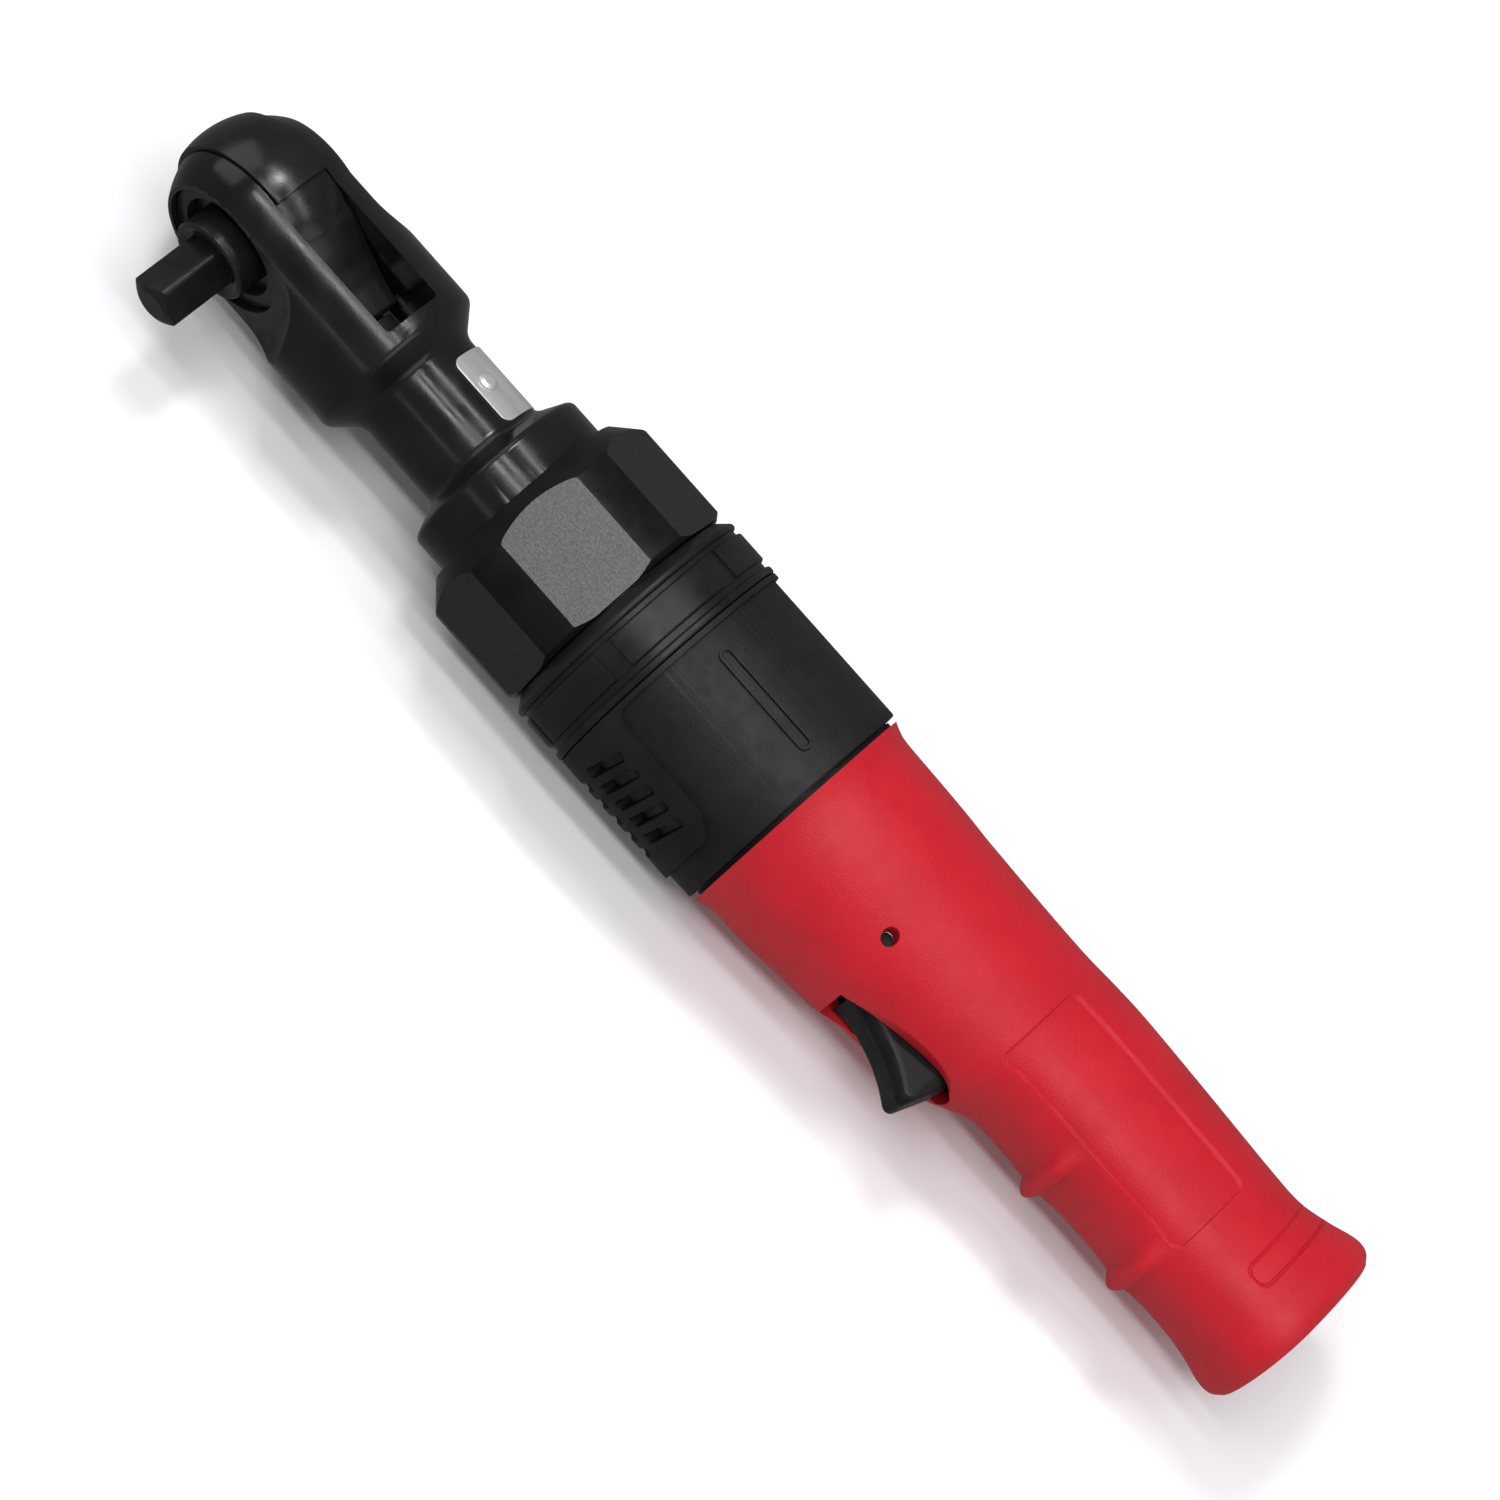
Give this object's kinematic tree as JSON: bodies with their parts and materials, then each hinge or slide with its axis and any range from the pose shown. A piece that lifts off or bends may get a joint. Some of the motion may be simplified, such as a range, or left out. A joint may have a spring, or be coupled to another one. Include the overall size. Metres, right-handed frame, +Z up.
{
  "type": "air ratchet wrench",
  "caption": "Pneumatic ratchet wrench with a ball-nosed head, square drive, hexagonal clamp nut, turning exhaust sleeve, squeeze lever and a moulded handle grip.",
  "frame": {"origin": "middle of the bottom of the whole tool's box, with the tool lying on its side", "axes": "+X from the square drive towards the air inlet, -Y the way the square drive and the trigger point, +Z up out of the side with the blank panel"},
  "size_m": [0.3378, 0.063, 0.0596],
  "materials": {
    "black_steel": "black oxide, satin",
    "head_black": "black, semi-gloss",
    "nut_steel": "blasted grey steel, satin",
    "bearing_steel": "ground",
    "gear_steel": "oiled",
    "bronze": "sintered bronze",
    "brass": "turned",
    "alloy": "machined",
    "plate_alloy": "satin, blank",
    "sleeve_plastic": "fine texture, matte black",
    "trigger_plastic": "satin black",
    "vane_plastic": "phenolic",
    "ring_black": "black, satin",
    "grip_red": "matte red, fine texture",
    "felt": "felt",
    "seal_rubber": "black",
    "spring_steel": "wire"
  },
  "bodies": {
    "tool_body": {"head_housing": "head_black", "front_bush": "bronze", "rear_bush": "bronze", "retainer_plate": "black_steel", "needle_bearing_shell": "bearing_steel", "bearing_needles": "bearing_steel", "nameplate": "plate_alloy", "nameplate_rivets": "bearing_steel", "ring_gear": "gear_steel", "coupling_nut": "nut_steel", "front_bead_ring": "ring_black", "motor_case": "alloy", "muffler_felt": "felt", "seam_gasket": "seal_rubber", "front_end_plate": "alloy", "rear_end_plate": "alloy", "cylinder": "gear_steel", "front_bearing_outer": "bearing_steel", "rear_bearing_outer": "bearing_steel", "handle_core": "alloy", "grip": "grip_red", "trigger_pin": "bearing_steel", "valve_bush": "brass", "valve_spring": "spring_steel", "valve_plug": "brass", "inlet_bushing": "bearing_steel", "inlet_screen": "brass"},
    "spindle": {"spindle": "black_steel", "socket_ball": "bearing_steel", "pawl_pins": "bearing_steel", "pawl_spring": "spring_steel"},
    "reverse_knob": {"reverse_knob": "black_steel", "knob_detent": "bearing_steel"},
    "pawl_front": {"pawl_front": "gear_steel"},
    "pawl_rear": {"pawl_rear": "gear_steel"},
    "ratchet_yoke": {"ratchet_yoke": "black_steel"},
    "crankshaft": {"crankshaft": "gear_steel", "drive_bushing": "bronze", "planet_pins": "bearing_steel"},
    "planet_1": {"planet_gear_1": "gear_steel"},
    "planet_2": {"planet_gear_2": "gear_steel"},
    "planet_3": {"planet_gear_3": "gear_steel"},
    "rotor": {"rotor": "gear_steel", "rotor_vanes": "vane_plastic", "front_bearing_inner": "bearing_steel", "rear_bearing_inner": "bearing_steel"},
    "front_balls": {"front_bearing_balls": "bearing_steel"},
    "rear_balls": {"rear_bearing_balls": "bearing_steel"},
    "exhaust_sleeve": {"exhaust_sleeve": "sleeve_plastic", "collar_band": "ring_black"},
    "trigger": {"trigger_lever": "trigger_plastic"},
    "valve_stem": {"valve_stem": "brass"}
  },
  "joints": [
    {"name": "spindle_spin", "type": "hinge", "parent": "tool_body", "child": "spindle", "pos_m": [-0.1469, 0.0017, 0.0298], "axis": [0, -1, 0], "continuous": true},
    {"name": "reverse_knob_turn", "type": "hinge", "parent": "spindle", "child": "reverse_knob", "pos_m": [-0.1469, 0.0177, 0.0298], "axis": [0, 1, 0], "range_deg": [0, 60]},
    {"name": "pawl_front_rock", "type": "hinge", "parent": "spindle", "child": "pawl_front", "pos_m": [-0.1399, 0.0027, 0.0298], "axis": [0, 1, 0], "range_deg": [0, 6]},
    {"name": "pawl_rear_rock", "type": "hinge", "parent": "spindle", "child": "pawl_rear", "pos_m": [-0.1539, 0.0027, 0.0298], "axis": [0, -1, 0], "range_deg": [0, 6]},
    {"name": "yoke_swing", "type": "hinge", "parent": "tool_body", "child": "ratchet_yoke", "pos_m": [-0.1469, 0.0017, 0.0298], "axis": [0, 1, 0], "range_deg": [-3.2, 3.2]},
    {"name": "crank_spin", "type": "hinge", "parent": "tool_body", "child": "crankshaft", "pos_m": [-0.0969, 0.0017, 0.0298], "axis": [1, 0, 0], "continuous": true},
    {"name": "rotor_spin", "type": "hinge", "parent": "tool_body", "child": "rotor", "pos_m": [-0.0169, 0.0017, 0.0298], "axis": [1, 0, 0], "continuous": true},
    {"name": "front_balls_orbit", "type": "hinge", "parent": "tool_body", "child": "front_balls", "pos_m": [-0.0395, 0.0017, 0.0298], "axis": [1, 0, 0], "continuous": true},
    {"name": "rear_balls_orbit", "type": "hinge", "parent": "tool_body", "child": "rear_balls", "pos_m": [0.0068, 0.0017, 0.0298], "axis": [1, 0, 0], "continuous": true},
    {"name": "sleeve_turn", "type": "hinge", "parent": "tool_body", "child": "exhaust_sleeve", "pos_m": [-0.0019, 0.0017, 0.0298], "axis": [1, 0, 0], "continuous": true},
    {"name": "trigger_pivot", "type": "hinge", "parent": "tool_body", "child": "trigger", "pos_m": [0.0514, -0.0107, 0.0298], "axis": [0, 0, 1], "range_deg": [0, 9], "stiffness_Nm_per_rad": 0.6, "springref_deg": -11.46},
    {"name": "valve_slide", "type": "slide", "parent": "tool_body", "child": "valve_stem", "axis": [0, 1, 0], "range_m": [0, 0.0026], "deforming": ["valve_spring"]},
    {"name": "planet_1_spin", "type": "hinge", "parent": "crankshaft", "child": "planet_1", "pos_m": [-0.0503, 0.01295, 0.0298], "axis": [1, 0, 0], "continuous": true},
    {"name": "planet_2_spin", "type": "hinge", "parent": "crankshaft", "child": "planet_2", "pos_m": [-0.0503, -0.00392, 0.03954], "axis": [1, 0, 0], "continuous": true},
    {"name": "planet_3_spin", "type": "hinge", "parent": "crankshaft", "child": "planet_3", "pos_m": [-0.0503, -0.00392, 0.02006], "axis": [1, 0, 0], "continuous": true}
  ],
  "couplings": [
    {"joint": "pawl_front_rock", "follows": "reverse_knob_turn", "ratio": 0.1},
    {"joint": "pawl_rear_rock", "follows": "reverse_knob_turn", "ratio": 0.1},
    {"joint": "rotor_spin", "follows": "crank_spin", "ratio": 5},
    {"joint": "front_balls_orbit", "follows": "crank_spin", "ratio": 2.1605},
    {"joint": "rear_balls_orbit", "follows": "crank_spin", "ratio": 2.1605},
    {"joint": "valve_slide", "follows": "trigger_pivot", "m_per_rad": 0.0157},
    {"joint": "planet_1_spin", "follows": "crank_spin", "ratio": -2.6667},
    {"joint": "planet_2_spin", "follows": "crank_spin", "ratio": -2.6667},
    {"joint": "planet_3_spin", "follows": "crank_spin", "ratio": -2.6667}
  ]
}
